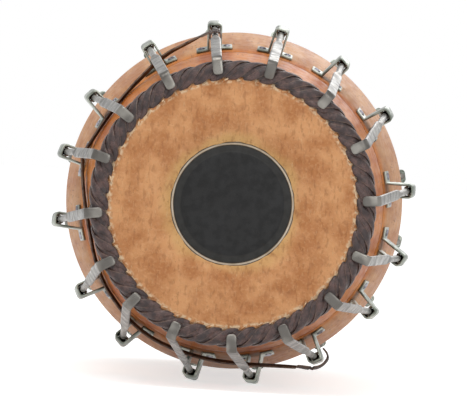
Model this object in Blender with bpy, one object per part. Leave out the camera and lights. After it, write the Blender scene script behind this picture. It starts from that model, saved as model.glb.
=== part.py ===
"""A mridangam tuned by hook bolts and nuts, lying on its side.

Metres, +Z up. The drum's axis runs along Y, and its small right head faces -Y. The drum rests on the outer ends of
the two lowest brackets of each row, so the floor is at z = 0.

Both heads are modelled in one head frame: the origin is the middle of the playing face, +Y runs into the drum, and an
angle is counted clockwise from straight up as a player sees that head. The left head's pieces are the same forms,
turned half round about Z.
"""

import math
from dataclasses import dataclass

import bmesh
import bpy
from mathutils import Matrix, Vector

# Overall sizes
FACE_TO_FACE = 0.567
BULGE_DEPTH = 0.305
BULGE_START = 0.200
BULGE_END = 0.390
RIGHT_RIM_RADIUS = 0.0933
RIGHT_SLOPE = 0.165
LEFT_SLOPE = 0.150
RIM_WALL = 0.0125
MIDDLE_WALL = 0.0195
RIM_ROUNDING = 0.0045
AXIS_HEIGHT = 0.1407

# Skins, from the shell's rim outwards
SKIN_GAP = 0.0003
RIM_DEPTH = 0.0035
INNER_RING_THICKNESS = 0.0008
MEMBRANE_THICKNESS = 0.0008
OUTER_RING_THICKNESS = 0.0010
SKIN_SKIRT_DEPTH = 0.0150
RIGHT_SKIN_HOLE = 0.0464
RIGHT_INNER_RING_HOLE = 0.0650
LEFT_SKIN_HOLE = 0.0620
PASTE_RADIUS = 0.0440
PASTE_DOME = 0.0015

# Braid
BRAID_GAP = 0.0006
BRAID_RIDGE = 0.0006
BRAID_STRANDS = 48
BRAID_SLANT = 14.0
LEFT_BRAID_SWELL = 0.0018

# Hook bolts: a flat strip, whose taper to a rod starts well before its bracket
HOOK_COUNT = 16
STRIP_WIDTH = 0.0078
STRIP_THICKNESS = 0.0025
TAPER_BEFORE_BRACKET = 0.1150
STRIP_TO_ROD = 0.0450
HOOK_TIP_REACH = 0.0126
HOOK_CROWN_DEPTH = -0.0042
HOOK_BEND_RADIUS = 0.0040
ROD_DIAMETER = 0.0050
ROD_END_BEYOND_BRACKET = 0.0300

# Nuts
NUT_ACROSS_FLATS = 0.0080
NUT_THICKNESS = 0.0045
NUT_BORE_RADIUS = 0.00285
NUT_GAP = 0.00045

# Brackets
BRACKET_WIDTH = 0.0180
BRACKET_THICKNESS = 0.0016
BRACKET_FOOT_SPAN = 0.0280
BRACKET_SLOT = 0.0080
BRACKET_LOOP_WIDTH = 0.0113
BRACKET_CORNER = 0.0026
BRACKET_INNER_CORNER = 0.0012
BRACKET_ROD_GAP = 0.0009
BRACKET_SHELL_GAP = 0.0005
BRACKET_SINK = 0.0015

RIGHT_BRACKET_DEPTH = 0.1500
RIGHT_ROD_RADIUS = 0.1347
RIGHT_HOOK_RADIUS = 0.1107
LEFT_BRACKET_DEPTH = 0.1125
LEFT_ROD_RADIUS = 0.1355
LEFT_HOOK_RADIUS = 0.1190

LEFT_FIRST_ANGLE = -11.25
RIGHT_FIRST_ANGLE = -9.59

# How far each right bracket stands off its even place, how far its hook leads it round the head, and how far its
# loop leans, all in degrees clockwise. The set was fitted by hand on the real drum.
RIGHT_BRACKET_SHIFTS = (0, -0.5, -0.5, -1, 2.5, 2.5, 0, 1, 0.5, -2, 0.5, -1.5, 0.5, 0.5, -2, 0)
RIGHT_HOOK_LEADS = (0, 0, 3.5, 5.5, 2.5, 4, 5, 5.5, 6, 10.5, 6.5, 5, 2, 3, 3, 1)
RIGHT_LOOP_LEANS = (8, 3, 10, 4, 9, 24, 14, 10, 22, 8, 14, 10, 17, 6, 15, -3)

# Tie strap: (angle, radius, depth, facing) of the middle of the strap, in the right head's frame. Facing turns its
# outer side clockwise from straight outwards.
STRAP_WIDTH = 0.0055
STRAP_THICKNESS = 0.0016
STRAP_STEPS = 3
STRAP_WRAP_DEPTH = 0.1085
STRAP_WRAP_ADVANCE = 0.0068
STRAP_WRAP_RADIUS = 0.0042
STRAP_ROUTE = (
    (-15.0, 0.1299, 0.1125, 0),
    (-20.7, 0.1268, 0.1180, 0),
    (-26.6, 0.1250, 0.1220, 0),
    (-32.6, 0.1224, 0.1270, 0),
    (-39.0, 0.1196, 0.1330, 0),
    (-46.9, 0.1178, 0.1386, 0),
    (-56.1, 0.1167, 0.1315, 0),
    (-64.4, 0.1174, 0.1350, 0),
    (-71.0, 0.1192, 0.1400, 0),
    (-75.5, 0.1214, 0.1420, 0),
    (-80.0, 0.1196, 0.1400, 0),
    (-87.0, 0.1158, 0.1240, 0),
    (-95.9, 0.1126, 0.1060, 0),
    (-105.0, 0.1114, 0.0990, 0),
    (-115.0, 0.1138, 0.1120, 0),
    (-126.4, 0.1173, 0.1340, 0),
    (-134.0, 0.1188, 0.1400, 0),
    (-144.0, 0.1212, 0.1425, 0),
    (-152.0, 0.1220, 0.1430, 0),
    (-160.1, 0.1219, 0.1430, 0),
    (-171.9, 0.1222, 0.1430, 0),
    (-185.1, 0.1243, 0.1430, 0),
    (-196.0, 0.1290, 0.1430, 0),
    (-204.0, 0.1358, 0.1450, 0),
    (-208.5, 0.1422, 0.1500, 0),
    (-211.5, 0.1444, 0.1560, -15),
    (-214.4, 0.1424, 0.1590, -60),
    (-215.2, 0.1384, 0.1600, -90),
    (-215.0, 0.1334, 0.1600, -90),
)

# Segments round the pieces
SEGMENTS = 40
BULGE_RINGS = 3


@dataclass(frozen=True)
class Head:
    """One end of the drum: its place, its shell and its row of brackets."""

    side: str
    turn: float
    rim_radius: float
    slope: float
    bracket_depth: float
    rod_radius: float
    hook_radius: float

    def shell_radius(self, depth):
        """The cone's outer radius, short of the bulge."""
        return self.rim_radius + self.slope * depth

    def frame(self):
        """Carries the head frame into the world."""
        face = Matrix.Translation((0, -FACE_TO_FACE / 2, 0))
        return Matrix.Translation((0, 0, AXIS_HEIGHT)) @ Matrix.Rotation(self.turn, 4, "Z") @ face


def left_rim_radius():
    """The left cone's radius at the left face, which follows from the bulge and the slopes."""
    bulge = RIGHT_RIM_RADIUS + RIGHT_SLOPE * (BULGE_START + (BULGE_DEPTH - BULGE_START) / 2)
    end = bulge - LEFT_SLOPE * (BULGE_END - BULGE_DEPTH) / 2
    return end - LEFT_SLOPE * (FACE_TO_FACE - BULGE_END)


RIGHT = Head(
    "right", 0.0, RIGHT_RIM_RADIUS, RIGHT_SLOPE, RIGHT_BRACKET_DEPTH, RIGHT_ROD_RADIUS, RIGHT_HOOK_RADIUS
)
LEFT = Head("left", math.pi, left_rim_radius(), LEFT_SLOPE, LEFT_BRACKET_DEPTH, LEFT_ROD_RADIUS, LEFT_HOOK_RADIUS)


def polar(radius, angle, depth):
    """A point in a head's frame."""
    turn = math.radians(angle)
    return Vector((radius * math.sin(turn), depth, radius * math.cos(turn)))


# Materials


def material(name, color, roughness, metallic=0.0):
    """A Principled material, made once for each name."""
    found = bpy.data.materials.get(name)
    if found:
        return found
    made = bpy.data.materials.new(name)
    made.use_nodes = True
    shader = made.node_tree.nodes["Principled BSDF"]
    shader.inputs["Base Color"].default_value = (*color, 1.0)
    shader.inputs["Roughness"].default_value = roughness
    shader.inputs["Metallic"].default_value = metallic
    made.diffuse_color = (*color, 1.0)
    return made


def wood():
    return material("shell_wood", (0.58, 0.27, 0.12), 0.45)


def outer_skin():
    return material("outer_skin", (0.50, 0.23, 0.10), 0.75)


def pale_skin():
    return material("pale_skin", (0.62, 0.52, 0.40), 0.7)


def paste():
    return material("tuning_paste", (0.025, 0.025, 0.024), 0.5)


def dark_leather():
    return material("braid_leather", (0.075, 0.042, 0.042), 0.55)


def tin_plate():
    return material("hook_steel", (0.60, 0.57, 0.53), 0.3, 1.0)


def bracket_steel():
    return material("bracket_steel", (0.12, 0.14, 0.12), 0.4, 1.0)


# Meshes


def new_object(name, bm, look, frame, sharp_angle=35.0):
    """Closes a bmesh into a named object, shaded smooth except at its sharp edges."""
    bmesh.ops.recalc_face_normals(bm, faces=bm.faces)
    mesh = bpy.data.meshes.new(name)
    bm.to_mesh(mesh)
    bm.free()
    mesh.shade_smooth()
    mesh.set_sharp_from_angle(angle=math.radians(sharp_angle))
    mesh.materials.append(look)
    made = bpy.data.objects.new(name, mesh)
    made.matrix_world = frame
    bpy.context.scene.collection.objects.link(made)
    return made


def turned(profile, segments):
    """A bmesh turned about Y from (radius, depth) points, a closed ring or a run from axis to axis."""
    bm = bmesh.new()
    points = [bm.verts.new((radius, depth, 0)) for radius, depth in profile]
    edges = [bm.edges.new(pair) for pair in zip(points, points[1:])]
    if min(profile[0][0], profile[-1][0]) > 0:
        edges.append(bm.edges.new((points[-1], points[0])))
    bmesh.ops.spin(
        bm, geom=points + edges, cent=(0, 0, 0), axis=(0, 1, 0), angle=2 * math.pi, steps=segments, use_merge=True
    )
    bmesh.ops.remove_doubles(bm, verts=bm.verts, dist=1e-6)
    return bm


def add_loft(bm, rings, round_again=False):
    """Skins a run of rings of points with quads, and caps its ends or joins them."""
    loops = [[bm.verts.new(point) for point in ring] for ring in rings]
    pairs = list(zip(loops, loops[1:]))
    if round_again:
        pairs.append((loops[-1], loops[0]))
    for first, second in pairs:
        for i in range(len(first)):
            j = (i + 1) % len(first)
            bm.faces.new((first[i], first[j], second[j], second[i]))
    if not round_again:
        bm.faces.new(loops[0])
        bm.faces.new(reversed(loops[-1]))


def add_extrusion(bm, outline, along):
    """Adds a flat outline, extruded by a vector."""
    face = bm.faces.new([bm.verts.new(point) for point in outline])
    side = bmesh.ops.extrude_face_region(bm, geom=[face], use_keep_orig=True)
    moved = [item for item in side["geom"] if isinstance(item, bmesh.types.BMVert)]
    bmesh.ops.translate(bm, verts=moved, vec=along)


def arc(middle, radius, first, last, steps):
    """Points (across, up) on an arc from one angle to another, in degrees, 0 pointing up."""
    turns = [math.radians(first + (last - first) * i / steps) for i in range(steps + 1)]
    return [(middle[0] + radius * math.sin(turn), middle[1] + radius * math.cos(turn)) for turn in turns]


# Shell


def bulge_curve():
    """The turned outer line between the two cones, (radius, depth behind the right face)."""
    points = []
    half = BULGE_DEPTH - BULGE_START
    peak = RIGHT.shell_radius(BULGE_START) + RIGHT_SLOPE * half / 2
    for i in range(BULGE_RINGS):
        short = 1 - i / BULGE_RINGS
        points.append((peak - RIGHT_SLOPE * half / 2 * short**2, BULGE_DEPTH - half * short))
    back = BULGE_END - BULGE_DEPTH
    for i in range(BULGE_RINGS + 1):
        past = i / BULGE_RINGS
        points.append((peak - LEFT_SLOPE * back / 2 * past**2, BULGE_DEPTH + back * past))
    return points


def fold_middle(head):
    """The centre, (radius, depth), about which the rim's edge and the skins on it are rounded."""
    tilt = math.atan(head.slope)
    middle_depth = RIM_DEPTH + RIM_ROUNDING
    edge_depth = middle_depth - RIM_ROUNDING * math.sin(tilt)
    return head.shell_radius(edge_depth) - RIM_ROUNDING * math.cos(tilt), middle_depth


def fold_arc(head, offset, steps=2, first=0.0):
    """The rounded edge at a distance out from the shell, from the flat of the head to the cone."""
    middle_radius, middle_depth = fold_middle(head)
    last = 90 - math.degrees(math.atan(head.slope))
    points = arc((middle_radius, 0), RIM_ROUNDING + offset, first, last, steps)
    return [(radius, middle_depth - up) for radius, up in points]


def flip(points):
    """Points of the left head's frame, as depths behind the right face, from the middle outwards."""
    return [(radius, FACE_TO_FACE - depth) for radius, depth in reversed(points)]


def shell_profile():
    outer = fold_arc(RIGHT, 0) + bulge_curve() + flip(fold_arc(LEFT, 0))
    back_rim = FACE_TO_FACE - RIM_DEPTH
    right_bore = RIGHT.shell_radius(RIM_DEPTH) - RIM_WALL
    left_bore = LEFT.shell_radius(RIM_DEPTH) - RIM_WALL
    middle_bore = outer[len(fold_arc(RIGHT, 0)) + BULGE_RINGS][0] - MIDDLE_WALL
    inner = [
        (left_bore, back_rim),
        (left_bore + 0.004, back_rim - 0.060),
        (middle_bore, BULGE_DEPTH + 0.050),
        (middle_bore, BULGE_DEPTH - 0.050),
        (right_bore + 0.004, RIM_DEPTH + 0.060),
        (right_bore, RIM_DEPTH),
    ]
    return outer + inner


def make_shell():
    bm = turned(shell_profile(), SEGMENTS)
    bmesh.ops.translate(bm, verts=bm.verts, vec=(0, -FACE_TO_FACE / 2, 0))
    return new_object("shell_with_left_brackets", bm, wood(), Matrix.Translation((0, 0, AXIS_HEIGHT)))


# Skins


def skin_side(head, hole, offset):
    """One side of a skin: flat over the head, folded over the rim and down the shell to the skirt's edge."""
    fold = fold_arc(head, offset)
    radius, depth = fold[-1]
    edge = (radius + head.slope * (SKIN_SKIRT_DEPTH - depth), SKIN_SKIRT_DEPTH)
    return [(hole, RIM_DEPTH - offset)] + fold + [edge]


def skin_profile(head, hole, offset, thickness):
    """A skin's section, closed round itself or run out to the axis where it has no hole."""
    return skin_side(head, hole, offset + thickness) + list(reversed(skin_side(head, hole, offset)))


def make_skin(name, head, hole, offset, thickness, look):
    bm = turned(skin_profile(head, hole, offset, thickness), SEGMENTS)
    return new_object(name, bm, look, head.frame())


def make_skins(head):
    """The right head has three skins and a patch, and the left head two skins."""
    offset = SKIN_GAP
    if head is RIGHT:
        make_skin("right_inner_ring", head, RIGHT_INNER_RING_HOLE, offset, INNER_RING_THICKNESS, pale_skin())
    offset += INNER_RING_THICKNESS + SKIN_GAP
    make_skin(f"{head.side}_membrane", head, 0, offset, MEMBRANE_THICKNESS, pale_skin())
    offset += MEMBRANE_THICKNESS + SKIN_GAP
    hole = RIGHT_SKIN_HOLE if head is RIGHT else LEFT_SKIN_HOLE
    make_skin(f"{head.side}_outer_ring", head, hole, offset, RIM_DEPTH - offset, outer_skin())


def make_paste():
    under = RIM_DEPTH - 3 * SKIN_GAP - INNER_RING_THICKNESS - MEMBRANE_THICKNESS
    profile = [
        (0, -PASTE_DOME),
        (0.022, -PASTE_DOME * 0.9),
        (0.0385, -PASTE_DOME * 0.5),
        (0.0395, -PASTE_DOME * 0.1),
        (PASTE_RADIUS, 0.0003),
        (PASTE_RADIUS, under),
        (0, under),
    ]
    return new_object("tuning_paste", turned(profile, SEGMENTS), paste(), RIGHT.frame())


# Braids


def braid_section(head):
    """The braid's section as (radius, depth) points, from its inner lip over the top and down to its inner side."""
    outside = RIM_DEPTH + BRAID_GAP
    inner_side = fold_arc(head, outside, steps=2, first=21.0)
    lip = inner_side[0]
    foot_radius = inner_side[-1][0] + head.slope * (0.0150 - inner_side[-1][1])
    top = [
        (lip[0] + 0.0009, -0.0008),
        (lip[0] + 0.0050, -0.0014),
        (lip[0] + 0.0095, -0.0012),
        (lip[0] + 0.0132, 0.0018),
        (lip[0] + 0.0141, 0.0065),
        (lip[0] + 0.0136, 0.0125),
        (foot_radius + 0.0030, 0.0155),
    ]
    return top, [(foot_radius, 0.0148)] + list(reversed(inner_side[1:]))


def braid_bmesh(head, segments, ridges):
    """A ring whose top and outer side carry slanted ridges, one for each strand."""
    top, inner_side = braid_section(head)
    middle = Vector((sum(p[0] for p in top) / len(top), sum(p[1] for p in top) / len(top)))
    rings = []
    for i in range(segments):
        angle = 360 * i / segments
        lift = BRAID_RIDGE * (1 if i % 2 else -0.4) if ridges else LEFT_BRAID_SWELL
        ring = []
        for k, point in enumerate(top):
            out = (Vector(point) - middle).normalized() * lift
            slant = BRAID_SLANT * k / (len(top) - 1) if ridges else 0
            ring.append(polar(point[0] + out.x, angle + slant, point[1] + out.y))
        for radius, depth in inner_side:
            ring.append(polar(radius, angle, depth))
        rings.append(ring)
    bm = bmesh.new()
    add_loft(bm, rings, round_again=True)
    return bm


def make_right_braid():
    bm = braid_bmesh(RIGHT, 2 * BRAID_STRANDS, True)
    return new_object("right_braid", bm, dark_leather(), RIGHT.frame(), 60.0)


# Hook bolts, brackets and nuts


class Lug:
    """One hook bolt with its bracket and nut: where they lie in the head's frame."""

    def __init__(self, head, angle, lead=0.0, lean=0.0):
        self.head = head
        half_width = BRACKET_WIDTH / 2
        rod_height = head.rod_radius - head.shell_radius(head.bracket_depth)
        base_angle = angle - math.degrees(math.asin(rod_height * math.sin(math.radians(lean)) / head.rod_radius))
        self.corner = polar(self.rod_line_radius(HOOK_CROWN_DEPTH), angle + lead, HOOK_CROWN_DEPTH)
        at_bracket = polar(head.rod_radius, angle, head.bracket_depth)
        self.axis = (self.corner - at_bracket).normalized()
        base_depth = head.bracket_depth + half_width
        self.base = polar(head.shell_radius(base_depth) + BRACKET_SHELL_GAP, base_angle, base_depth)
        tilt = math.atan(head.slope)
        self.normal = polar(math.cos(tilt), base_angle, -math.sin(tilt))
        back = -self.axis
        self.channel = (back - self.normal * back.dot(self.normal)).normalized()
        self.across = self.channel.cross(self.normal)
        reach = (self.base - at_bracket).dot(self.channel) / back.dot(self.channel)
        self.rod_middle = at_bracket + back * reach
        offset = self.rod_middle - self.base
        self.lean = math.atan2(offset.dot(self.across), offset.dot(self.normal))
        self.rod_height = offset.length
        self.length = (self.corner - self.rod_middle).length

    def rod_line_radius(self, depth):
        """The radius of the rod's line at a depth."""
        head = self.head
        slope = (head.rod_radius - head.hook_radius) / head.bracket_depth
        return head.hook_radius + slope * depth

    def rod_frame(self):
        """Origin at the rod's middle in the bracket, Z along the rod to the head and X outwards."""
        radial = Vector((self.corner.x, 0, self.corner.z)).normalized()
        out = (radial - self.axis * radial.dot(self.axis)).normalized()
        across = self.axis.cross(out)
        axes = Matrix((out, across, self.axis)).transposed().to_4x4()
        return Matrix.Translation(self.rod_middle) @ axes

    def bracket_frame(self):
        """Origin on the shell under the bracket's middle, X across, Y along the channel and Z out."""
        axes = Matrix((self.across, self.channel, self.normal)).transposed().to_4x4()
        return Matrix.Translation(self.base) @ axes

    def crown_tilt(self):
        """How far the crown, which points at the drum's axis, rises from square to the rod."""
        radial = Vector((self.corner.x, 0, self.corner.z)).normalized()
        return math.asin(-radial.dot(self.axis))


def right_lugs():
    lugs = []
    for i in range(HOOK_COUNT):
        angle = RIGHT_FIRST_ANGLE + 360 * i / HOOK_COUNT + RIGHT_BRACKET_SHIFTS[i]
        lugs.append(Lug(RIGHT, angle, RIGHT_HOOK_LEADS[i], RIGHT_LOOP_LEANS[i]))
    return lugs


def left_lugs():
    return [Lug(LEFT, LEFT_FIRST_ANGLE + 360 * i / HOOK_COUNT) for i in range(HOOK_COUNT)]


def strip_section(place, out, across, width, thickness):
    """Eight points round a flat strip, or round a rod where the width is the thickness."""
    half_width = width / 2
    half = thickness / 2
    cut = half * (1 - math.tan(math.pi / 8))
    points = [
        (half - cut, -half_width),
        (half, -half_width + cut),
        (half, half_width - cut),
        (half - cut, half_width),
        (-half + cut, half_width),
        (-half, half_width - cut),
        (-half, -half_width + cut),
        (-half + cut, -half_width),
    ]
    return [place + out * x + across * y for x, y in points]


def hook_rings(lug):
    """Sections along a hook bolt in its rod's frame: tip, crown, bend, strip and rod."""
    across = Vector((0, 1, 0))
    tilt = lug.crown_tilt()
    inward = Vector((-math.cos(tilt), 0, math.sin(tilt)))
    crown_out = Vector((math.sin(tilt), 0, math.cos(tilt)))
    corner = Vector((0, 0, lug.length))
    rod_end = -(BRACKET_WIDTH / 2 + ROD_END_BEYOND_BRACKET - BRACKET_WIDTH)
    rings = []
    tip = corner + inward * HOOK_TIP_REACH
    rings.append(strip_section(tip, crown_out, across, STRIP_WIDTH * 0.55, STRIP_THICKNESS * 0.7))
    rings.append(strip_section(tip - inward * 0.0015, crown_out, across, STRIP_WIDTH * 0.95, STRIP_THICKNESS))
    half_turn = (math.pi / 2 - tilt) / 2
    back = HOOK_BEND_RADIUS * math.tan(half_turn)
    down = Vector((0, 0, -1))
    centre = corner + inward * back - crown_out * HOOK_BEND_RADIUS
    steps = 3
    for i in range(steps + 1):
        turn = 2 * half_turn * i / steps
        out = crown_out * math.cos(turn) - inward * math.sin(turn)
        rings.append(strip_section(centre + out * HOOK_BEND_RADIUS, out, across, STRIP_WIDTH, STRIP_THICKNESS))
    out = Vector((1, 0, 0))
    rod_start = Vector((0, 0, TAPER_BEFORE_BRACKET))
    rings.append(strip_section(rod_start, out, across, STRIP_WIDTH, STRIP_THICKNESS))
    rings.append(strip_section(rod_start + down * STRIP_TO_ROD, out, across, ROD_DIAMETER, ROD_DIAMETER))
    rings.append(strip_section(Vector((0, 0, rod_end)), out, across, ROD_DIAMETER, ROD_DIAMETER))
    return rings


def bracket_outline(lug, sink):
    """The bracket's section in its own frame, (across, out): two feet and a loop round the rod that may lean."""
    half_loop = BRACKET_LOOP_WIDTH / 2
    half_slot = BRACKET_SLOT / 2
    inner_end = lug.rod_height + ROD_DIAMETER / 2 + BRACKET_ROD_GAP
    outer_end = inner_end + BRACKET_THICKNESS
    foot = BRACKET_FOOT_SPAN / 2
    bend = 2 * lug.head.shell_radius(lug.head.bracket_depth)
    side, up = math.sin(lug.lean), math.cos(lug.lean)

    def on_plate(across, thick):
        return across, thick - across**2 / bend

    def in_loop(across, along):
        return across * up + along * side, along * up - across * side

    def leg_foot(across, thick):
        """Where a leg's side meets the plate."""
        along = (thick + across * side) / up
        return on_plate(in_loop(across, along)[0], thick)

    def corner(sign, half, end, radius, steps):
        first, last = (-90, 0) if sign < 0 else (0, 90)
        return [in_loop(*p) for p in arc((sign * (half - radius), end - radius), radius, first, last, steps)]

    outline = [on_plate(-foot, -sink), on_plate(-foot, BRACKET_THICKNESS), leg_foot(-half_loop, BRACKET_THICKNESS)]
    outline += corner(-1, half_loop, outer_end, BRACKET_CORNER, 2)
    outline += corner(1, half_loop, outer_end, BRACKET_CORNER, 2)
    outline += [leg_foot(half_loop, BRACKET_THICKNESS), on_plate(foot, BRACKET_THICKNESS), on_plate(foot, -sink)]
    outline += [leg_foot(half_slot, -sink)]
    outline += reversed(corner(1, half_slot, inner_end, BRACKET_INNER_CORNER, 1))
    outline += reversed(corner(-1, half_slot, inner_end, BRACKET_INNER_CORNER, 1))
    outline += [leg_foot(-half_slot, -sink)]
    return outline


def add_bracket(bm, lug, frame, sink=0.0):
    """Adds a bracket, whose feet are sunk a little into the shell where the two are one piece."""
    start = -BRACKET_WIDTH / 2
    outline = [frame @ Vector((x, start, z)) for x, z in bracket_outline(lug, sink)]
    add_extrusion(bm, outline, frame.to_3x3() @ Vector((0, BRACKET_WIDTH, 0)))


def nut_rings(bored):
    """Hexagons round the rod's frame, with a round bore's rings inside them where the nut is a piece of its own."""
    corners = 12 if bored else 6
    top = -(BRACKET_WIDTH / 2 + NUT_GAP)
    flat = NUT_ACROSS_FLATS / 2

    def ring(bore, height):
        points = []
        for i in range(corners):
            turn = math.pi / 6 + 2 * math.pi * i / corners
            if bore:
                radius = NUT_BORE_RADIUS / math.cos(math.pi / corners)
            else:
                radius = flat if bored and i % 2 else flat / math.cos(math.pi / 6)
            points.append(Vector((radius * math.cos(turn), radius * math.sin(turn), height)))
        return points

    outside = [ring(False, top), ring(False, top - NUT_THICKNESS)]
    if not bored:
        return outside
    return outside + [ring(True, top - NUT_THICKNESS), ring(True, top)]


def make_right_lugs():
    """Sixteen hook bolts, brackets and nuts, each an object whose origin is on the rod's line or under its foot."""
    frame = RIGHT.frame()
    for i, lug in enumerate(right_lugs(), start=1):
        bm = bmesh.new()
        add_loft(bm, hook_rings(lug))
        new_object(f"right_hook_bolt_{i:02d}", bm, tin_plate(), frame @ lug.rod_frame())
        bm = bmesh.new()
        add_bracket(bm, lug, Matrix.Identity(4))
        new_object(f"right_bracket_{i:02d}", bm, bracket_steel(), frame @ lug.bracket_frame())
        bm = bmesh.new()
        add_loft(bm, nut_rings(True), round_again=True)
        new_object(f"right_nut_{i:02d}", bm, bracket_steel(), frame @ lug.rod_frame())


def join(target, name, bm):
    """Joins a helper's solids to an object with a Boolean union."""
    helper = new_object(name, bm, target.data.materials[0], LEFT.frame())
    helper.hide_render = True
    helper.display_type = "WIRE"
    union = target.modifiers.new(name, "BOOLEAN")
    union.operation = "UNION"
    union.solver = "EXACT"
    union.object = helper


def make_left_set(shell):
    """The left row: its brackets are one with the shell, and its hook bolts and nuts are one with the braid."""
    braid = new_object(
        "left_braid_with_hook_bolts", braid_bmesh(LEFT, SEGMENTS, False), dark_leather(), LEFT.frame()
    )
    brackets = bmesh.new()
    hooks = bmesh.new()
    nuts = bmesh.new()
    for lug in left_lugs():
        add_bracket(brackets, lug, lug.bracket_frame(), BRACKET_SINK)
        frame = lug.rod_frame()
        add_loft(hooks, [[frame @ point for point in ring] for ring in hook_rings(lug)])
        add_loft(nuts, [[frame @ point for point in ring] for ring in nut_rings(False)])
    join(shell, "left_bracket_row", brackets)
    join(braid, "left_hook_bolt_row", hooks)
    join(braid, "left_nut_row", nuts)


# Tie strap


def strap_wrap(lug):
    """One turn of the strap round the first hook bolt's rod, from the strap's free end to where it leaves the rod."""
    angle = RIGHT_FIRST_ANGLE
    steps = 9
    points = []
    for i in range(steps + 1):
        turn = math.radians(405 * (1 - i / steps))
        depth = STRAP_WRAP_DEPTH + STRAP_WRAP_ADVANCE * i / steps
        rod = lug.rod_line_radius(depth)
        aside = math.degrees(STRAP_WRAP_RADIUS * math.sin(turn) / rod)
        points.append(Vector((angle + aside, rod + STRAP_WRAP_RADIUS * math.cos(turn), depth, math.degrees(turn))))
    return points


def smooth_route(route, steps):
    """Points on a Catmull-Rom curve through the route's own points, so many steps to each span."""
    ends = [route[0] * 2 - route[1], *route, route[-1] * 2 - route[-2]]
    points = []
    for k in range(len(route) - 1):
        a, b, c, d = ends[k : k + 4]
        for i in range(steps):
            t = i / steps
            bend = (2 * a - 5 * b + 4 * c - d) * t**2 + (3 * b - a - 3 * c + d) * t**3
            points.append(0.5 * (2 * b + (c - a) * t + bend))
    return points + [route[-1]]


def make_strap():
    """A flat thong, wrapped round the first rod, laid behind the hook bolts and hooked over the eighth bracket."""
    route = strap_wrap(right_lugs()[0]) + [Vector(point) for point in STRAP_ROUTE]
    curve = smooth_route(route, STRAP_STEPS)
    middles = [polar(radius, angle, depth) for angle, radius, depth, _ in curve]
    rings = []
    for i, middle in enumerate(middles):
        ahead = (middles[min(i + 1, len(middles) - 1)] - middles[max(i - 1, 0)]).normalized()
        angle, facing = curve[i][0], curve[i][3]
        out = polar(1, angle + facing, -RIGHT_SLOPE * math.cos(math.radians(facing)))
        across = ahead.cross(out).normalized()
        half_width = across * (STRAP_WIDTH / 2)
        half = across.cross(ahead) * (STRAP_THICKNESS / 2)
        corners = ((1, 1), (-1, 1), (-1, -1), (1, -1))
        rings.append([middle + half_width * x + half * y for x, y in corners])
    bm = bmesh.new()
    add_loft(bm, rings)
    return new_object("tie_strap", bm, dark_leather(), RIGHT.frame())


def main():
    for old in list(bpy.data.objects):
        bpy.data.objects.remove(old)
    shell = make_shell()
    for head in (RIGHT, LEFT):
        make_skins(head)
    make_paste()
    make_right_braid()
    make_right_lugs()
    make_left_set(shell)
    make_strap()


if __name__ == "__main__":
    main()
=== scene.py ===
"""A mridangam tuned by hook bolts and nuts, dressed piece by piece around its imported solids.

Metres, +Z up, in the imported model's frame: the drum lies along Y and its small right head faces -Y. Each
head is built in a head frame: the origin is the middle of the playing face, +Y runs into the drum, and an
angle is counted clockwise from straight up as a player sees that head.
"""

import logging
import math
from collections.abc import Callable, Sequence
from dataclasses import dataclass, field
from enum import Enum

import bmesh
import bpy
from mathutils import Matrix, Vector


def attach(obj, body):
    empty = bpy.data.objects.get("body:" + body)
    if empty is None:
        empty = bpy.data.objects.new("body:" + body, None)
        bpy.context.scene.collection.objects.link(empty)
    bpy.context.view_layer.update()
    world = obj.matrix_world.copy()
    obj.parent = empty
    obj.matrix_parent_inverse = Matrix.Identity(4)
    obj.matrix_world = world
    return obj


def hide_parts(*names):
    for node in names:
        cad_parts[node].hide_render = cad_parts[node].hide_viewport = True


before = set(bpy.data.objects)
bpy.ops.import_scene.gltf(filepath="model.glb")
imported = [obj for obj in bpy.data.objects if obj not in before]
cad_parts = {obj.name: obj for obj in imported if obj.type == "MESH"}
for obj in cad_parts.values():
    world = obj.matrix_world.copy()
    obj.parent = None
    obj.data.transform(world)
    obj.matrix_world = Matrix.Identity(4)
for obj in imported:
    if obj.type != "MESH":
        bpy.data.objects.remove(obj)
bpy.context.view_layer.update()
LOG = logging.getLogger("mridangam")

# Overall sizes, as in the solids
FACE_TO_FACE = 0.567
AXIS_HEIGHT = 0.1407
BULGE_DEPTH = 0.305
BULGE_START = 0.200
BULGE_END = 0.390
RIM_WALL = 0.0125
MIDDLE_WALL = 0.0195
RIM_ROUNDING = 0.0045
RIM_DEPTH = 0.0035
ROOT = "drum"

Section = list[tuple[float, float]]
Shade = tuple[int, int, int]
Socket = bpy.types.NodeSocket


class Slot(Enum):
    """The record's material slots."""

    WOOD = "shell_wood"
    OUTER_SKIN = "outer_skin"
    PALE_SKIN = "pale_skin"
    PASTE = "tuning_paste"
    LEATHER = "braid_leather"
    HOOK = "hook_steel"
    BRACKET = "bracket_steel"


@dataclass(frozen=True)
class Head:
    """One end of the drum: its place, its cone of shell and its row of brackets."""

    side: str
    turn: float
    rim_radius: float
    slope: float
    bracket_depth: float
    rod_radius: float
    hook_radius: float

    def shell_radius(self, depth: float) -> float:
        """The cone's outer radius, short of the bulge."""
        return self.rim_radius + self.slope * depth

    def place(self) -> Matrix:
        """Carries the head frame into the world."""
        face = Matrix.Translation((0, -FACE_TO_FACE / 2, 0))
        return Matrix.Translation((0, 0, AXIS_HEIGHT)) @ Matrix.Rotation(self.turn, 4, "Z") @ face


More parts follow.
